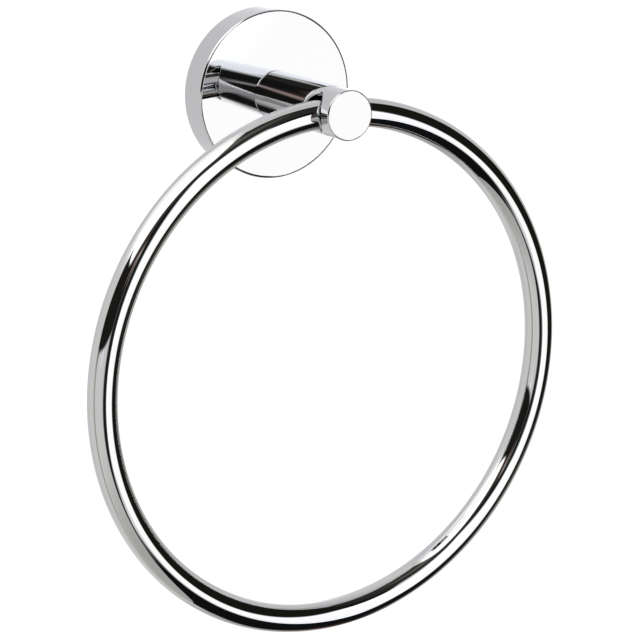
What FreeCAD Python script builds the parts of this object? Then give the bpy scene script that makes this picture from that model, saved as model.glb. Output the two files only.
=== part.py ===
import FreeCAD, Part
import math
import os

Vector = FreeCAD.Vector

# Towel ring: a round flange on the wall, a round post that stands out of it, and a ring
# that hangs loose in an eye drilled across the post.
#
# The wall is the plane y = 0 and the room lies on its -Y side. +Z is up.
# The origin is on the post's axis, in the plane of the wall. Sizes are in millimetres.
# A reach is a distance out from the wall, so a point at reach r has y = -r.

# Ring
ring_outer_diameter = 160.0
rod_diameter = 8.5
# The ring hangs a little turned in its eye, its -X side farther from the wall, by this
# share of its free turn there. Its rod lies this much behind the eye's axis.
ring_turn_share = 0.5
ring_set_back = 0.06

# Post
post_diameter = 14.5
post_reach = 53.6
post_edge_radius = 0.45
post_foot_chamfer = 0.4

# Eye: the hole across the post that the ring hangs in. Its mouths are rounded by this share
# of the post's wall beside it.
eye_play = 1.55
eye_from_end = 9.4
eye_edge_share = 0.25
eye_seat_gap = 0.1

# Spigot: the keyed end of the post that sits in the flange cover
spigot_diameter = 8.8
spigot_flat_depth = 1.0
spigot_clearance = 0.1
spigot_end_gap = 0.2

# Flange cover: its face is crowned, and its reach and front wall are taken at the rim
flange_diameter = 50.2
flange_reach = 10.0
flange_crown = 0.65
flange_side_wall = 2.0
flange_front_wall = 2.2
flange_edge_radius = 0.75
flange_inside_radius = 0.8
flange_back_chamfer = 0.2

# Wall bracket, hidden in the flange cover
bracket_clearance = 2.2
bracket_reach = 6.4
bracket_floor = 2.5
bracket_edge_chamfer = 0.4
bracket_center_clearance = 0.8
slot_length = 6.5
slot_width = 4.5

# Groove round the bracket's rim, with flanks at 45 degrees
groove_reach = 3.6
groove_depth = 2.0
groove_back_wall = 2.0

# Set screw and the tooth opposite it, both of which press on the groove's room-side flank
pull_offset = 0.4
flank_gap = 0.05
set_screw_diameter = 4.0
set_screw_length = 5.0
set_screw_key_width = 2.0
set_screw_key_depth = 2.0
set_screw_pad_width = 9.0
set_screw_pad_height = 1.6
set_screw_pad_margin = 1.0
tooth_half_angle = 8.0
tooth_tip_width = 0.8

# Screw that holds the post to the flange cover, and its washers
post_screw_diameter = 5.0
post_screw_length = 12.0
post_screw_head_diameter = 9.5
post_screw_head_height = 3.7
post_screw_head_radius = 1.4
cross_width = 1.1
cross_span = 5.2
cross_depth = 2.4
cross_taper = 0.45
tapped_spare_depth = 2.4
drill_point_angle = 118.0
plain_washer_diameter = 15.0
plain_washer_thickness = 1.2
spring_washer_diameter = 9.2
spring_washer_thickness = 1.2
spring_washer_split = 0.6
spring_washer_slant = 20.0
washer_clearance = 0.2
thread_clearance = 0.05

# Sizes worked out from those above
rod_radius = rod_diameter / 2
ring_radius = ring_outer_diameter / 2 - rod_radius
post_radius = post_diameter / 2
eye_radius = (rod_diameter + eye_play) / 2
eye_edge_radius = (post_radius - eye_radius) * eye_edge_share
eye_reach = post_reach - eye_from_end
ring_reach = eye_reach - ring_set_back
ring_turn = ring_turn_share * math.degrees(math.atan(eye_play / post_diameter))
flange_radius = flange_diameter / 2
crown_radius = (flange_radius ** 2 + flange_crown ** 2) / (2 * flange_crown)
crown_center_reach = flange_reach + flange_crown - crown_radius
seat_reach = crown_center_reach + math.sqrt(crown_radius ** 2 - post_radius ** 2)
cup_radius = flange_radius - flange_side_wall
wall_middle_radius = flange_radius - flange_side_wall / 2
cup_reach = flange_reach - flange_front_wall
spigot_radius = spigot_diameter / 2
spigot_reach = cup_reach + spigot_end_gap
bracket_radius = cup_radius - bracket_clearance
groove_bottom_radius = bracket_radius - groove_depth
dish_radius = groove_bottom_radius - groove_back_wall
center_hole_radius = post_screw_head_diameter / 2 + bracket_center_clearance
pull_reach = groove_reach + pull_offset
point_radius = groove_bottom_radius + pull_offset + flank_gap * math.sqrt(2)
plain_washer_reach = cup_reach - plain_washer_thickness
post_screw_seat_reach = plain_washer_reach - spring_washer_thickness
post_screw_radius = post_screw_diameter / 2
set_screw_radius = set_screw_diameter / 2

out = Vector(0, -1, 0)
up = Vector(0, 0, 1)


def on_axis(reach):
    """The point on the post's axis at this reach."""
    return out * reach


def turned(outline):
    """A solid turned about the post's axis from (radius, reach) points."""
    points = [Vector(radius, -reach, 0) for radius, reach in outline]
    face = Part.Face(Part.makePolygon(points + points[:1]))
    return face.revolve(Vector(0, 0, 0), Vector(0, 1, 0), 360)


def bar(radius, from_reach, to_reach):
    """A round bar on the post's axis between two reaches."""
    return Part.makeCylinder(radius, to_reach - from_reach, on_axis(from_reach), out)


def keyed_bar(radius, flat_depth, from_reach, to_reach):
    """A round bar on the post's axis with one flat along its upper side."""
    length = to_reach - from_reach
    corner = Vector(-radius, -to_reach, radius - flat_depth)
    above_flat = Part.makeBox(2 * radius, length, flat_depth, corner)
    return bar(radius, from_reach, to_reach).cut(above_flat)


def hexagonal_bar(width_across_flats, length, base, direction):
    """A hexagonal bar from a base point along a direction."""
    corner_radius = width_across_flats / math.sqrt(3)
    corners = []
    for step in range(7):
        angle = math.radians(60 * step)
        corners.append(Vector(corner_radius * math.cos(angle), corner_radius * math.sin(angle), 0))
    prism = Part.Face(Part.makePolygon(corners)).extrude(Vector(0, 0, length))
    prism.Placement = FreeCAD.Placement(base, FreeCAD.Rotation(up, direction))
    return prism


def circles_at(shape, radius, reach):
    """The circular edges of this radius that lie round the post's axis at this reach."""
    found = []
    for edge in shape.Edges:
        if not isinstance(edge.Curve, Part.Circle):
            continue
        same_radius = abs(edge.Curve.Radius - radius) < 1e-4
        same_place = edge.Curve.Center.sub(on_axis(reach)).Length < 1e-4
        if same_radius and same_place:
            found.append(edge)
    return found


def ring_drop():
    """How far the rod's centre hangs below the eye's axis when the ring rests on the eye's floor.

    The ring is curved, so it rests on the two ends of the floor and stands clear between them.
    It is also turned, so at those ends it lies a little up the eye's sides.
    """
    floor_half_length = math.sqrt(post_radius ** 2 - eye_radius ** 2)
    inside_radius = ring_radius - rod_radius
    bow = inside_radius - math.sqrt(inside_radius ** 2 - floor_half_length ** 2)
    aside = floor_half_length * math.tan(math.radians(ring_turn)) + ring_set_back
    play = eye_radius - rod_radius - eye_seat_gap
    return math.sqrt(play ** 2 - aside ** 2) - bow


def make_ring():
    """The rod bent to a circle and welded shut, hanging in the eye."""
    center = on_axis(ring_reach) - up * (ring_drop() + ring_radius)
    facing = FreeCAD.Rotation(up, ring_turn).multVec(out)
    return Part.makeTorus(ring_radius, rod_radius, center, facing)


def make_post():
    """The turned post with its spigot, tapped foot and cross-drilled eye."""
    body = bar(post_radius, seat_reach, post_reach)
    body = body.makeFillet(post_edge_radius, circles_at(body, post_radius, post_reach))
    body = body.makeChamfer(post_foot_chamfer, circles_at(body, post_radius, seat_reach))

    eye_start = on_axis(eye_reach) - Vector(post_diameter, 0, 0)
    eye = Part.makeCylinder(eye_radius, 2 * post_diameter, eye_start, Vector(1, 0, 0))
    body = body.cut(eye)
    mouths = [edge for edge in body.Edges if isinstance(edge.Curve, Part.BSplineCurve)]
    body = body.makeFillet(eye_edge_radius, mouths)

    spigot = keyed_bar(spigot_radius, spigot_flat_depth, spigot_reach, seat_reach)
    return body.fuse(spigot).cut(make_tapped_hole()).removeSplitter()


def make_tapped_hole():
    """The screw's hole in the post's foot, with the cone that the drill leaves."""
    hole_radius = post_screw_radius + thread_clearance
    bottom_reach = post_screw_seat_reach + post_screw_length + tapped_spare_depth
    point_length = hole_radius / math.tan(math.radians(drill_point_angle / 2))
    outline = [
        (0, spigot_reach),
        (hole_radius, spigot_reach),
        (hole_radius, bottom_reach),
        (0, bottom_reach + point_length),
    ]
    return turned(outline)


def make_flange_cover():
    """The cast cup: keyed hole for the post, pad and tapped hole for the set screw, tooth on top.

    The crown stops at a flat seat for the post's foot.
    """
    crown = Part.makeSphere(crown_radius, on_axis(crown_center_reach), out)
    cup = bar(flange_radius, 0, seat_reach).common(crown)
    cup = cup.makeFillet(flange_edge_radius, circles_at(cup, flange_radius, flange_reach))
    cup = cup.makeChamfer(flange_back_chamfer, circles_at(cup, flange_radius, 0))
    hollow = bar(cup_radius, 0, cup_reach)
    hollow = hollow.makeFillet(flange_inside_radius, circles_at(hollow, cup_radius, cup_reach))
    cup = cup.cut(hollow)

    cup = cup.fuse([make_set_screw_pad(), make_tooth()]).removeSplitter()
    keyed_hole = keyed_bar(spigot_radius + spigot_clearance, spigot_flat_depth, cup_reach, seat_reach)
    screw_hole = Part.makeCylinder(
        set_screw_radius + thread_clearance,
        flange_radius - point_radius,
        out * pull_reach - up * flange_radius,
        up,
    )
    return cup.cut(keyed_hole).cut(screw_hole)


def make_set_screw_pad():
    """The thickening inside the cup's lower wall that gives the set screw its length of thread."""
    back_reach = pull_reach - set_screw_radius - set_screw_pad_margin
    face_radius = cup_radius - set_screw_pad_height
    corner = Vector(-set_screw_pad_width / 2, -cup_reach, -flange_radius)
    block = Part.makeBox(set_screw_pad_width, cup_reach - back_reach, flange_radius - face_radius, corner)
    return block.common(bar(wall_middle_radius, 0, cup_reach))


def make_tooth():
    """The cast tooth at the top of the cup, a wedge that hooks into the bracket's groove."""
    tip_radius = point_radius + tooth_tip_width / 2
    half_root = cup_radius - point_radius
    outline = [
        (tip_radius, pull_reach - tooth_tip_width / 2),
        (tip_radius, pull_reach + tooth_tip_width / 2),
        (cup_radius, pull_reach + half_root),
        (wall_middle_radius, pull_reach + half_root),
        (wall_middle_radius, pull_reach - half_root),
        (cup_radius, pull_reach - half_root),
    ]
    points = [Vector(radius, -reach, 0) for radius, reach in outline]
    face = Part.Face(Part.makePolygon(points + points[:1]))
    start = FreeCAD.Rotation(Vector(0, 1, 0), -90 - tooth_half_angle)
    face.Placement = FreeCAD.Placement(Vector(0, 0, 0), start)
    return face.revolve(Vector(0, 0, 0), Vector(0, 1, 0), 2 * tooth_half_angle)


def make_wall_bracket():
    """The dished disc on the wall, with the groove round its rim and two slots for wall screws."""
    chamfer = bracket_edge_chamfer
    outline = [
        (center_hole_radius, 0),
        (bracket_radius - chamfer, 0),
        (bracket_radius, chamfer),
        (bracket_radius, groove_reach - groove_depth),
        (groove_bottom_radius, groove_reach),
        (bracket_radius, groove_reach + groove_depth),
        (bracket_radius, bracket_reach - chamfer),
        (bracket_radius - chamfer, bracket_reach),
        (dish_radius, bracket_reach),
        (dish_radius, bracket_floor),
        (center_hole_radius, bracket_floor),
    ]
    disc = turned(outline)
    slot_height = (dish_radius + center_hole_radius) / 2
    for height in (slot_height, -slot_height):
        disc = disc.cut(make_slot(height))
    return disc


def make_slot(height):
    """An upright slot through the bracket's floor, centred at this height."""
    half_straight = (slot_length - slot_width) / 2
    radius = slot_width / 2
    lower = Vector(0, 0, height - half_straight)
    upper = Vector(0, 0, height + half_straight)
    lower_end = Part.makeCylinder(radius, bracket_floor, lower, out)
    upper_end = Part.makeCylinder(radius, bracket_floor, upper, out)
    corner = Vector(-radius, -bracket_floor, height - half_straight)
    middle = Part.makeBox(slot_width, bracket_floor, 2 * half_straight, corner)
    return middle.fuse([lower_end, upper_end])


def make_set_screw():
    """The socket set screw with a cone point, standing point up in the cup's lower wall."""
    tip = out * pull_reach - up * point_radius
    end = tip - up * set_screw_length
    shank_length = set_screw_length - set_screw_radius
    shank = Part.makeCylinder(set_screw_radius, shank_length, end, up)
    point = Part.makeCone(set_screw_radius, 0, set_screw_radius, end + up * shank_length, up)
    socket = hexagonal_bar(set_screw_key_width, set_screw_key_depth, end, up)
    return shank.fuse(point).cut(socket).removeSplitter()


def make_post_screw():
    """The pan-head screw with a cross recess, from inside the cup into the post."""
    back_reach = post_screw_seat_reach - post_screw_head_height
    head = bar(post_screw_head_diameter / 2, back_reach, post_screw_seat_reach)
    back_edge = circles_at(head, post_screw_head_diameter / 2, back_reach)
    head = head.makeFillet(post_screw_head_radius, back_edge)
    end_reach = post_screw_seat_reach + post_screw_length
    shank = bar(post_screw_radius, post_screw_seat_reach, end_reach)
    shank = shank.makeChamfer(post_screw_radius / 4, circles_at(shank, post_screw_radius, end_reach))
    recess = Part.makeLoft(
        [cross_outline(1, back_reach), cross_outline(cross_taper, back_reach + cross_depth)],
        True,
        True,
    )
    return head.fuse(shank).cut(recess).removeSplitter()


def cross_outline(scale, reach):
    """The outline of the cross recess at one reach, its arms shortened by a scale."""
    arm = cross_span / 2 * scale
    half = cross_width / 2
    quarter = [(arm, half), (half, half), (half, arm)]
    points = []
    for turn in range(4):
        angle = math.radians(90 * turn)
        for x, z in quarter:
            turned_x = x * math.cos(angle) - z * math.sin(angle)
            turned_z = x * math.sin(angle) + z * math.cos(angle)
            points.append(Vector(turned_x, -reach, turned_z))
    return Part.makePolygon(points + points[:1])


def make_plain_washer():
    """The wide washer that bridges the keyed hole in the cup."""
    washer = bar(plain_washer_diameter / 2, plain_washer_reach, cup_reach)
    return washer.cut(bar(post_screw_radius + washer_clearance, plain_washer_reach, cup_reach))


def make_spring_washer():
    """The split lock washer, drawn flat as it is when the screw is tight."""
    outer = spring_washer_diameter / 2
    washer = bar(outer, post_screw_seat_reach, plain_washer_reach)
    washer = washer.cut(bar(post_screw_radius + washer_clearance, post_screw_seat_reach, plain_washer_reach))
    length = spring_washer_thickness * 3
    corner = Vector(-spring_washer_split / 2, -length / 2, 0)
    split = Part.makeBox(spring_washer_split, length, outer * 2, corner)
    middle = on_axis((post_screw_seat_reach + plain_washer_reach) / 2)
    slant = FreeCAD.Rotation(up, spring_washer_slant)
    split.Placement = FreeCAD.Placement(middle, slant)
    return washer.cut(split)


pieces = {
    "ring": make_ring(),
    "post": make_post(),
    "flange_cover": make_flange_cover(),
    "wall_bracket": make_wall_bracket(),
    "set_screw": make_set_screw(),
    "post_screw": make_post_screw(),
    "plain_washer": make_plain_washer(),
    "spring_washer": make_spring_washer(),
}

os.makedirs("parts", exist_ok=True)
for name, shape in pieces.items():
    shape.exportStep(f"parts/{name}.step")

print("ring pivot: y", round(-ring_reach, 4), "z", round(-ring_drop(), 4), "turn", round(ring_turn, 4))
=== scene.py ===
import math

import bpy
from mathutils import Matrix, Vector


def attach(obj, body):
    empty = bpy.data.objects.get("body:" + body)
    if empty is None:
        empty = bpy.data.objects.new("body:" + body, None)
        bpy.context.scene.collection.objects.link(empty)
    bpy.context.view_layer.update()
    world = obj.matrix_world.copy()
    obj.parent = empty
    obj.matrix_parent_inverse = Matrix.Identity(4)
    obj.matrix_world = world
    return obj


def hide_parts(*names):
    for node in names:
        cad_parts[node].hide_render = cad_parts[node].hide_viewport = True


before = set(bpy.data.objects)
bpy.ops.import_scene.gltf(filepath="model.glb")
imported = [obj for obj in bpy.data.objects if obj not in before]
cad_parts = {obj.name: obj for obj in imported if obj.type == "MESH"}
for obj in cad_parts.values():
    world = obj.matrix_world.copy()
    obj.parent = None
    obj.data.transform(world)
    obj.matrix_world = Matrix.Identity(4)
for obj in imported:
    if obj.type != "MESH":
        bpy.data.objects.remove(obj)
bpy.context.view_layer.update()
MM = 0.001
DEGREES = 180 / math.pi

# Sizes taken from the part, in millimetres and degrees. The wall is the plane y = 0, the room is
# on its -Y side, and the post's axis is the Y axis.
RING_RADIUS = 75.75
ROD_RADIUS = 4.25
RING_REACH = 44.14
RING_DROP = 0.3927
RING_TURN = 3.0508

# Where the plating is thin and dull. Radius is a soft edge round the post's axis and depth is
# one across it, and the dull part lies inside both.
CUP_INSIDE = {"radius": (23.0, 23.5), "depth": (-8.2, -7.8)}
SPIGOT_AND_HOLE = {"radius": (4.6, 4.9), "depth": (-24.0, -23.5)}


# Node sockets that can be written as sums.

class Value:
    """A number that may change over a surface, or from one direction to another."""

    def __init__(self, shop, socket):
        self.shop = shop
        self.socket = socket

    def maths(self, operation, *others):
        values = [self, *others]
        return Value(self.shop, self.shop.make("ShaderNodeMath", {"operation": operation}, values))

    def __add__(self, other):
        return self.maths("ADD", other)

    def __sub__(self, other):
        return self.maths("SUBTRACT", other)

    def __rsub__(self, number):
        return self.maths("MULTIPLY_ADD", -1.0, number)

    def __mul__(self, other):
        return self.maths("MULTIPLY", other)

    __radd__ = __add__
    __rmul__ = __mul__

    def between(self, low, high):
        """The number spread over a range: low where it is 0 and high where it is 1."""
        return self * (high - low) + low

    def rise(self, start, end):
        """0 below start and 1 above end, with a soft step between them."""
        settings = {"interpolation_type": "SMOOTHSTEP"}
        step = {"Value": self, "From Min": start, "From Max": end}
        return Value(self.shop, self.shop.make("ShaderNodeMapRange", settings, step, "Result"))

    def fall(self, start, end):
        """1 below start and 0 above end."""
        return 1.0 - self.rise(start, end)


class Shop:
    """Makes the nodes of one material or of the world."""

    def __init__(self, tree):
        self.tree = tree
        tree.nodes.clear()

    def make(self, kind, settings=None, inputs=None, output=0):
        """A node of that kind: its settings first, then what its sockets hold or are joined to."""
        node = self.tree.nodes.new(kind)
        for name, value in (settings or {}).items():
            setattr(node, name, value)
        pairs = inputs.items() if isinstance(inputs, dict) else enumerate(inputs or [])
        for name, value in pairs:
            self.fill(node.inputs[name], value)
        return node.outputs[output] if node.outputs else None

    def fill(self, socket, value):
        if isinstance(value, Value):
            value = value.socket
        if isinstance(value, bpy.types.NodeSocket):
            self.tree.links.new(value, socket)
        elif isinstance(value, tuple) and socket.type == "RGBA":
            socket.default_value = (*value, 1.0)
        else:
            socket.default_value = value

    def mix(self, share, under, over):
        """The colour under, covered by the colour over as far as share says."""
        return self.make("ShaderNodeMix", {"data_type": "RGBA"}, {0: share, 6: under, 7: over}, 2)

    def cover(self, share, under, over):
        """The shader under, covered by the shader over as far as share says."""
        return self.make("ShaderNodeMixShader", None, [share, under, over])

    def split(self, vector):
        """The x, y and z of a vector."""
        parts = self.make("ShaderNodeSeparateXYZ", None, [vector]).node.outputs
        return [Value(self, part) for part in parts]

    def point(self):
        """The point of the surface, in metres from the object's origin."""
        return self.make("ShaderNodeTexCoord", output="Object")

    def noise(self, size, detail=2.0, roughness=0.5):
        """A cloudy number round 0.5, with clouds of about that size in millimetres."""
        scale = 1 / (size * MM)
        clouds = {"Vector": self.point(), "Scale": scale, "Detail": detail, "Roughness": roughness}
        return Value(self, self.make("ShaderNodeTexNoise", None, clouds))

    def bump(self, height, depth):
        """A normal bent by a height, where depth in millimetres is the height of a 1."""
        bend = {"Height": height, "Distance": depth * MM, "Strength": 1.0}
        return self.make("ShaderNodeBump", None, bend, "Normal")

    def glow(self, color, strength=1.0):
        return self.make("ShaderNodeEmission", None, {"Color": color, "Strength": strength})

    def surface(self, **inputs):
        """A Principled surface. The names of its inputs are written with _ for a space."""
        named = {name.replace("_", " "): value for name, value in inputs.items()}
        return self.make("ShaderNodeBsdfPrincipled", None, named)

    def end(self, shader):
        self.make("ShaderNodeOutputMaterial", None, [shader])


def new_material(name):
    material = bpy.data.materials.new(name)
    material.use_nodes = True
    return material, Shop(material.node_tree)


def level(red, green, blue):
    """The linear colour that shows as these levels out of 255."""
    linear = []
    for shown in (red, green, blue):
        share = shown / 255
        linear.append(share / 12.92 if share <= 0.04045 else ((share + 0.055) / 1.055) ** 2.4)
    return tuple(linear)


# The camera stands to the left of the ring and a little above it. Its target, distance and clips
# are in millimetres, and its lens and sensor are in those of a real camera.

CAMERA_AZIMUTH = math.radians(-29.739)
CAMERA_ELEVATION = math.radians(14.448)
CAMERA_DISTANCE = 672.58
CAMERA_TARGET = Vector((-7.712, -50.0, -59.015)) * MM
CAMERA_LENS = 131.99
CAMERA_SENSOR = 36.0
CAMERA_CLIPS = (50.0, 100000.0)


def turn_to(thing, direction):
    """Turns a camera or a lamp to look that way, with its top up."""
    thing.rotation_euler = direction.to_track_quat("-Z", "Y").to_euler()


def set_camera():
    back = Vector((
        math.sin(CAMERA_AZIMUTH) * math.cos(CAMERA_ELEVATION),
        -math.cos(CAMERA_AZIMUTH) * math.cos(CAMERA_ELEVATION),
        math.sin(CAMERA_ELEVATION),
    ))
    bpy.ops.object.camera_add(location=CAMERA_TARGET + back * (CAMERA_DISTANCE * MM))
    camera = bpy.context.object
    camera.name = "camera"
    turn_to(camera, -back)
    camera.data.lens = CAMERA_LENS
    camera.data.sensor_width = CAMERA_SENSOR
    camera.data.clip_start, camera.data.clip_end = (clip * MM for clip in CAMERA_CLIPS)
    bpy.context.scene.camera = camera


# The studio that the chrome shows: two domes round the ring with cards, light boxes and the seams
# between them. Each covers a span of directions from the domes' centre. Across is in degrees
# round from the room, with +X at 90, and up is in degrees above level. None is no edge there.
# Blur is the width of its soft edges, slope is how much the lower and the upper edge climb across
# it, and lean is how much its sides lean over with height. Later ones lie over earlier ones. The
# levels are what they show as in the chrome, out of 255, and above it for lamps.

DOME_CENTER = (0.0, -45.0, -76.0)
DOME_SEGMENTS = 96
DOME_RINGS = 48
FAR_RADIUS = 2400.0
NEAR_RADIUS = 1200.0
PAPER = (194, 194, 193)

FAR_CARDS = [
    {"name": "floor far below", "across": (None, None), "up": (None, -27.4), "blur": (1, 40),
     "slope": (0, 0.29), "level": (161, 160, 158)},
    {"name": "left seam", "across": (-93.6, -82.6), "up": (-57.5, 41), "blur": (4.9, 13.6),
     "slope": (1.32, 1.23), "lean": -0.02, "level": (146, 147, 140)},
    {"name": "back grey", "across": (None, -165.3), "up": (-76.7, 44.2), "blur": (20, 20),
     "slope": (-0.33, 0.21), "lean": 1.44, "level": (200, 201, 202)},
    {"name": "right back", "across": (104.8, None), "up": (1.7, 60.5), "blur": (12, 10.1),
     "slope": (-1.06, -0.1), "lean": 0.99, "level": (195, 195, 199)},
    {"name": "rear glow", "across": (142.1, 154.1), "up": (-24.2, 41.2), "blur": (21.3, 22.7),
     "slope": (1.47, 2.65), "lean": -0.44, "level": (261, 264, 269)},
    {"name": "ceiling back", "across": (None, -112), "up": (36.4, 82.7), "blur": (7.5, 17.5),
     "slope": (-0.15, 0.16), "lean": 0.26, "level": (238, 238, 239)},
    {"name": "ceiling", "across": (-108.8, 5.2), "up": (20.3, 85.2), "blur": (2.9, 1),
     "slope": (-0.29, -0.2), "lean": -0.22, "level": (276, 276, 275)},
    {"name": "ceiling lavender", "across": (-56.2, 9), "up": (26.3, 36.7), "blur": (13.3, 9.6),
     "slope": (0.96, 0.17), "lean": -0.38, "level": (232, 233, 244)},
    {"name": "right ceiling", "across": (76.9, None), "up": (34.3, 78.2), "blur": (14, 7.6),
     "slope": (1.71, 0.16), "lean": -0.51, "level": (184, 184, 186)},
    {"name": "right card", "across": (36.2, 103.2), "up": (-47.6, 55.7), "blur": (3.6, 14.2),
     "slope": (0.83, -0.37), "lean": -0.42, "level": (23, 21, 18)},
    {"name": "right card foot", "across": (58.1, 103), "up": (-50.8, -30.8), "blur": (11.4, 11.3),
     "slope": (-0.43, -0.51), "lean": -0.35, "level": (79, 77, 70)},
    {"name": "table", "across": (-5.7, 139.8), "up": (None, -32.8), "blur": (23.3, 13.3),
     "slope": (0, -0.45), "lean": -0.11, "level": (15, 16, 17)},
    {"name": "table right", "across": (86.5, 158.8), "up": (-71.6, -47.7), "blur": (4.4, 3.7),
     "slope": (-0.32, 0.84), "lean": 0.42, "level": (64, 49, 42)},
    {"name": "front box", "across": (0.3, 41.2), "up": (-29, 27.2), "blur": (4.5, 1),
     "slope": (-0.42, -0.17), "lean": -0.13, "level": (261, 264, 271)},
    {"name": "box glow", "across": (26.6, 67), "up": (-27.7, -11.4), "blur": (8.8, 6.4),
     "slope": (-0.06, -1.16), "lean": 1.1, "level": (252, 252, 252)},
    {"name": "rear wall left", "across": (None, -142.4), "up": (-37.9, 56.2), "blur": (14.8, 12.5),
     "slope": (-0.37, -0.84), "lean": -0.32, "level": (185, 185, 188)},
    {"name": "rear wall right", "across": (166.1, None), "up": (-47.9, 49.2), "blur": (11.9, 10.3),
     "slope": (2.23, 1.87), "lean": -0.03, "level": (187, 188, 191)},
    {"name": "low edge glow", "across": (-21, 28.3), "up": (-34.1, -26.2), "blur": (9.6, 4.4),
     "slope": (0.08, -0.06), "lean": -0.64, "level": (212, 212, 215)},
]

NEAR_CARDS = [
    {"name": "ceiling fade", "across": (-91.8, -13.9), "up": (13.9, 39.5), "blur": (10.8, 3.4),
     "slope": (0.38, 0.3), "lean": 1.22, "level": (54, 48, 44)},
    {"name": "left card", "across": (-91.8, -23.9), "up": (3, 29.8), "blur": (1.5, 2.4),
     "slope": (-0.04, -0.25), "lean": -0.05, "level": (25, 24, 22)},
    {"name": "streak", "across": (-40.3, -11), "up": (23, 20.4), "blur": (2.9, 3.6),
     "slope": (-0.19, -0.8), "lean": 0.28, "level": (93, 75, 69)},
    {"name": "warm streak", "across": (-47.7, -30.2), "up": (17.7, 26.6), "blur": (6.9, 6.4),
     "slope": (0.41, -0.14), "lean": 0.6, "level": (181, 156, 151)},
    {"name": "strip", "across": (-25.4, -2.1), "up": (-33.6, 38.2), "blur": (10.7, 1),
     "slope": (-1.09, 0.5), "lean": -0.03, "level": (24, 24, 24)},
    {"name": "hood", "across": (9.6, 94), "up": (46, 86.1), "blur": (4.3, 2.3),
     "slope": (0.29, -0.05), "lean": -0.27, "level": (40, 40, 38)},
    {"name": "hood spot", "across": (-16.7, 34), "up": (55.6, 69), "blur": (3.2, 15.8),
     "slope": (0.36, -0.02), "lean": 0.16, "level": (89, 88, 83)},
]

# Chrome gives back this share of what it faces, so the studio is brighter by as much.
CHROME_SHARE = (0.625, 0.63, 0.645)


def card_share(across, up, card):
    """How far a card covers each direction, from 0 to 1."""
    left, right = card["across"]
    low, high = card["up"]
    blur_across, blur_up = (width / 2 for width in card["blur"])
    slope_low, slope_high = card["slope"]
    upright = across - up * card["lean"] if "lean" in card else across
    middle = ((-180 if left is None else left) + (180 if right is None else right)) / 2
    from_middle = across - middle
    edges = []
    if left is not None:
        edges.append(upright.rise(left - blur_across, left + blur_across))
    if right is not None:
        edges.append(upright.fall(right - blur_across, right + blur_across))
    if low is not None:
        edges.append((up - from_middle * slope_low).rise(low - blur_up, low + blur_up))
    if high is not None:
        edges.append((up - from_middle * slope_high).fall(high - blur_up, high + blur_up))
    share = edges[0]
    for edge in edges[1:]:
        share = share * edge
    return share


def shine(shop, levels):
    """Light that shows as these levels in the chrome."""
    return shop.glow(tuple(light / share for light, share in zip(level(*levels), CHROME_SHARE)))


def studio_material(name):
    """A material whose light comes only by way of the chrome, so it isn't sampled as a lamp."""
    material, shop = new_material(name)
    material.cycles.emission_sampling = "NONE"
    return material, shop


def show_in_chrome_only(thing):
    thing.visible_camera = False
    thing.visible_diffuse = False
    thing.visible_transmission = False
    thing.visible_shadow = False


def hang_dome(name, radius, paper, cards):
    """A dome of cards over paper of that level, or over nothing."""
    bpy.ops.mesh.primitive_uv_sphere_add(
        segments=DOME_SEGMENTS,
        ring_count=DOME_RINGS,
        radius=radius * MM,
        location=Vector(DOME_CENTER) * MM,
    )
    dome = bpy.context.object
    dome.name = name
    material, shop = studio_material(name + " cards")
    direction = shop.make("ShaderNodeVectorMath", {"operation": "NORMALIZE"}, [shop.point()])
    x, y, z = shop.split(direction)
    across = x.maths("ARCTAN2", y * -1.0) * DEGREES
    up = z.maths("ARCSINE") * DEGREES
    shown = shine(shop, paper) if paper else shop.make("ShaderNodeBsdfTransparent")
    for card in cards:
        share = card_share(across, up, card)
        shown = shop.cover(share, shown, shine(shop, card["level"]))
        shown.node.label = card["name"]
    shop.end(shown)
    dome.data.materials.append(material)
    show_in_chrome_only(dome)


TABLE_HEIGHT = -819.0
TABLE_LEFT, TABLE_RIGHT = -88.0, 250.0
TABLE_FRONT, TABLE_BACK = -855.0, 20.0
TABLE_CLOUDS = 120.0
TABLE_LEVELS = ((12, 12, 12), (16, 16, 16))


def set_table():
    """The black table far below the ring, which gives its mirror bands their sharp ends."""
    middle = ((TABLE_LEFT + TABLE_RIGHT) / 2, (TABLE_FRONT + TABLE_BACK) / 2, TABLE_HEIGHT)
    bpy.ops.mesh.primitive_plane_add(size=1.0, location=Vector(middle) * MM)
    table = bpy.context.object
    table.name = "black_table"
    table.scale = ((TABLE_RIGHT - TABLE_LEFT) * MM, (TABLE_BACK - TABLE_FRONT) * MM, 1.0)
    bpy.ops.object.transform_apply(location=False, rotation=False, scale=True)
    material, shop = studio_material("black table top")
    tones = [shine(shop, levels) for levels in TABLE_LEVELS]
    shop.end(shop.cover(shop.noise(TABLE_CLOUDS), *tones))
    table.data.materials.append(material)
    show_in_chrome_only(table)


WHITE = (1.0, 1.0, 1.0)
PLAIN_LIGHT = 0.75
BACKDROP_LIGHT = 1.0


def set_plain_light():
    """White behind everything for the camera, and an even light on what isn't chrome."""
    world = bpy.data.worlds.new("plain light")
    bpy.context.scene.world = world
    world.use_nodes = True
    shop = Shop(world.node_tree)
    plain, white = (
        shop.make("ShaderNodeBackground", None, {"Color": WHITE, "Strength": strength})
        for strength in (PLAIN_LIGHT, BACKDROP_LIGHT)
    )
    seen = shop.make("ShaderNodeLightPath", output="Is Camera Ray")
    shop.make("ShaderNodeOutputWorld", None, [shop.cover(seen, plain, white)])


FLOOR_DEPTH = 250.0
FLOOR_SIZE = 8000.0
FLOOR_CUTS = 3
FLOOR_CLOUDS = 400.0
FLOOR_TONES = (0.88, 0.90)
FLOOR_ROUGHNESS = 0.9
FLOOR_GLOW = 1.15
FLOOR_GLOW_SHARE = 0.75


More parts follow.
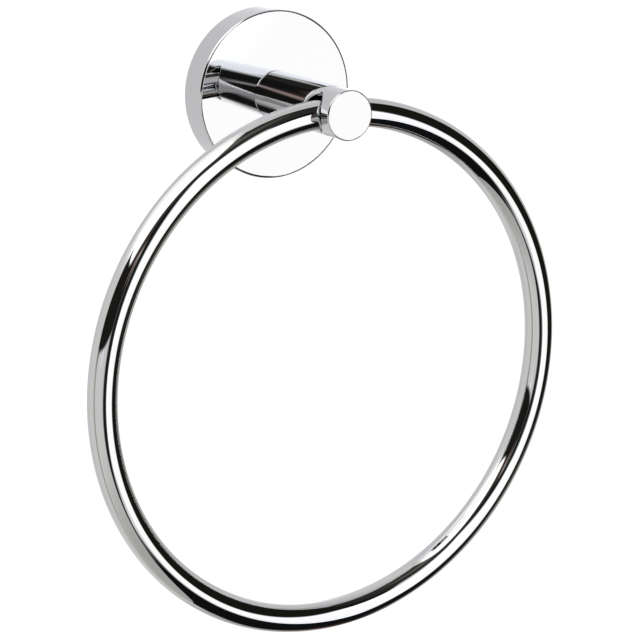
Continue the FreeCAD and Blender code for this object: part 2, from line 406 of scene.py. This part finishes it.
def lay_floor():
    """The pale floor far below the ring: from above all but white, and clear from below."""
    bpy.ops.mesh.primitive_plane_add(size=FLOOR_SIZE * MM)
    floor = bpy.context.object
    floor.name = "floor"
    bpy.ops.object.mode_set(mode="EDIT")
    bpy.ops.mesh.select_all(action="SELECT")
    bpy.ops.mesh.subdivide(number_cuts=FLOOR_CUTS)
    bpy.ops.transform.translate(value=(0, 0, -FLOOR_DEPTH * MM))
    bpy.ops.object.mode_set(mode="OBJECT")
    material, shop = new_material("white floor paper")
    tone = shop.noise(FLOOR_CLOUDS).between(*FLOOR_TONES)
    matt = shop.surface(Base_Color=tone, Roughness=FLOOR_ROUGHNESS)
    paper = shop.cover(FLOOR_GLOW_SHARE, matt, shop.glow(WHITE, FLOOR_GLOW))
    clear = shop.make("ShaderNodeBsdfTransparent")
    below = shop.make("ShaderNodeNewGeometry", output="Backfacing")
    shop.end(shop.cover(below, paper, clear))
    floor.data.materials.append(material)
    floor.visible_glossy = False


LAMP_PLACE = (-500.0, -700.0, 900.0)
LAMP_WIDTH = 700.0
LAMP_POWER = 3.0


def hang_lamp():
    """A soft lamp over the camera's left shoulder, which the chrome doesn't show."""
    place = Vector(LAMP_PLACE) * MM
    bpy.ops.object.light_add(type="AREA", location=place)
    lamp = bpy.context.object
    lamp.name = "soft_lamp"
    turn_to(lamp, CAMERA_TARGET - place)
    lamp.data.shape = "SQUARE"
    lamp.data.size = LAMP_WIDTH * MM
    lamp.data.energy = LAMP_POWER
    lamp.visible_glossy = False
    lamp.visible_camera = False


# Materials of the part. The sizes of their clouds and the depths of their bumps are in
# millimetres. A pair of colours or of numbers is what the clouds go between.

CHROME_VARIES = 0.006
CHROME_ROUGHNESS = (0.018, 0.03)
RIPPLE_SIZE = 14.0
RIPPLE_DEPTH = 0.0004
DULL_TONES = ((0.42, 0.42, 0.43), (0.56, 0.56, 0.56))
DULL_ROUGHNESS = (0.3, 0.45)

CAST_TONES = ((0.30, 0.305, 0.31), (0.46, 0.465, 0.47))
CAST_METAL = 0.85
CAST_ROUGHNESS = (0.42, 0.67)
CAST_DEPTH = 0.05

ZINC_TONES = ((0.50, 0.51, 0.53), (0.66, 0.67, 0.68))
ZINC_ROUGHNESS = (0.24, 0.36)
STAINLESS_TONES = ((0.38, 0.375, 0.37), (0.50, 0.495, 0.49))
STAINLESS_ROUGHNESS = (0.3, 0.42)
PLATE_DEPTH = 0.004


def inside(shop, edges):
    """1 on the part's surface inside a radius edge and a depth edge, and 0 outside them."""
    x, y, z = (part * (1 / MM) for part in shop.split(shop.point()))
    radius = (x * x + z * z).maths("SQRT")
    return radius.fall(*edges["radius"]) * y.rise(*edges["depth"])


def chrome(name, dull_edges=None):
    """Mirror chrome, with a bare rougher metal inside the dull edges."""
    material, shop = new_material(name)
    wear = shop.noise(size=22.0, detail=3.0)
    tones = [
        tuple(share + change for share in CHROME_SHARE)
        for change in (-CHROME_VARIES, CHROME_VARIES)
    ]
    tone = shop.mix(wear, *tones)
    roughness = wear.between(*CHROME_ROUGHNESS)
    if dull_edges:
        dull = inside(shop, dull_edges)
        grain = shop.noise(size=1.6, detail=4.0, roughness=0.6)
        tone = shop.mix(dull, tone, shop.mix(grain, *DULL_TONES))
        roughness = roughness + dull * grain.between(*DULL_ROUGHNESS)
    ripple = shop.bump(shop.noise(size=RIPPLE_SIZE, detail=1.0), RIPPLE_DEPTH)
    shop.end(shop.surface(Base_Color=tone, Metallic=1.0, Roughness=roughness, Normal=ripple))
    return material


def cast_zinc():
    material, shop = new_material("cast zinc")
    grain = shop.noise(size=1.1, detail=5.0, roughness=0.65)
    cloud = shop.noise(size=9.0)
    shop.end(shop.surface(
        Base_Color=shop.mix(cloud * 0.6 + grain * 0.4, *CAST_TONES),
        Metallic=CAST_METAL,
        Roughness=grain.between(*CAST_ROUGHNESS),
        Normal=shop.bump(grain, CAST_DEPTH),
    ))
    return material


def plated_steel(name, tones, roughness):
    material, shop = new_material(name)
    grain = shop.noise(size=0.8, detail=3.0, roughness=0.6)
    cloud = shop.noise(size=4.0)
    shop.end(shop.surface(
        Base_Color=shop.mix(cloud, *tones),
        Metallic=1.0,
        Roughness=grain.between(*roughness),
        Normal=shop.bump(grain, PLATE_DEPTH),
    ))
    return material


def paint_parts(materials):
    """Gives each of these pieces of the part its material, in its own mesh."""
    for name, material in materials.items():
        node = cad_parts[name]
        for place in range(len(node.data.materials)):
            node.data.materials[place] = material


# The ring, with a finer mesh than the part's, so that its mirror bands run smoothly.

ROD_SIDES = 64
RING_STEPS = 720
WELD_GAP = 0.02


def bend_ring():
    turn = math.radians(RING_TURN)
    top = Vector((0, -RING_REACH, -RING_DROP)) * MM
    center = top - Vector((0, 0, RING_RADIUS * MM))
    facing = Vector((math.sin(turn), -math.cos(turn), 0))
    bpy.ops.object.select_all(action="DESELECT")
    bpy.ops.mesh.primitive_circle_add(
        vertices=ROD_SIDES,
        radius=ROD_RADIUS * MM,
        location=top,
        rotation=(0, math.pi / 2, turn),
    )
    bpy.ops.object.transform_apply(location=True, rotation=True, scale=True)
    ring = bpy.context.object
    ring.name = "polished_ring"
    bpy.ops.object.mode_set(mode="EDIT")
    bpy.ops.mesh.select_all(action="SELECT")
    bpy.ops.mesh.spin(steps=RING_STEPS, angle=2 * math.pi, center=center, axis=facing)
    bpy.ops.mesh.select_all(action="SELECT")
    bpy.ops.mesh.remove_doubles(threshold=WELD_GAP * MM)
    bpy.ops.mesh.normals_make_consistent(inside=False)
    bpy.ops.object.mode_set(mode="OBJECT")
    bpy.ops.object.shade_smooth()
    ring.data.materials.append(chrome("ring chrome"))
    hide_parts("ring")
    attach(ring, "ring")


set_camera()
hang_dome("far_dome", FAR_RADIUS, PAPER, FAR_CARDS)
hang_dome("near_dome", NEAR_RADIUS, None, NEAR_CARDS)
set_table()
set_plain_light()
lay_floor()
hang_lamp()

zinc_plate = plated_steel("bright zinc plate", ZINC_TONES, ZINC_ROUGHNESS)
paint_parts({
    "post": chrome("post chrome", SPIGOT_AND_HOLE),
    "flange_cover": chrome("flange chrome", CUP_INSIDE),
    "wall_bracket": cast_zinc(),
    "set_screw": plated_steel("stainless steel", STAINLESS_TONES, STAINLESS_ROUGHNESS),
    "post_screw": zinc_plate,
    "plain_washer": zinc_plate,
    "spring_washer": zinc_plate,
})
bend_ring()

bpy.context.scene.view_settings.view_transform = "Standard"
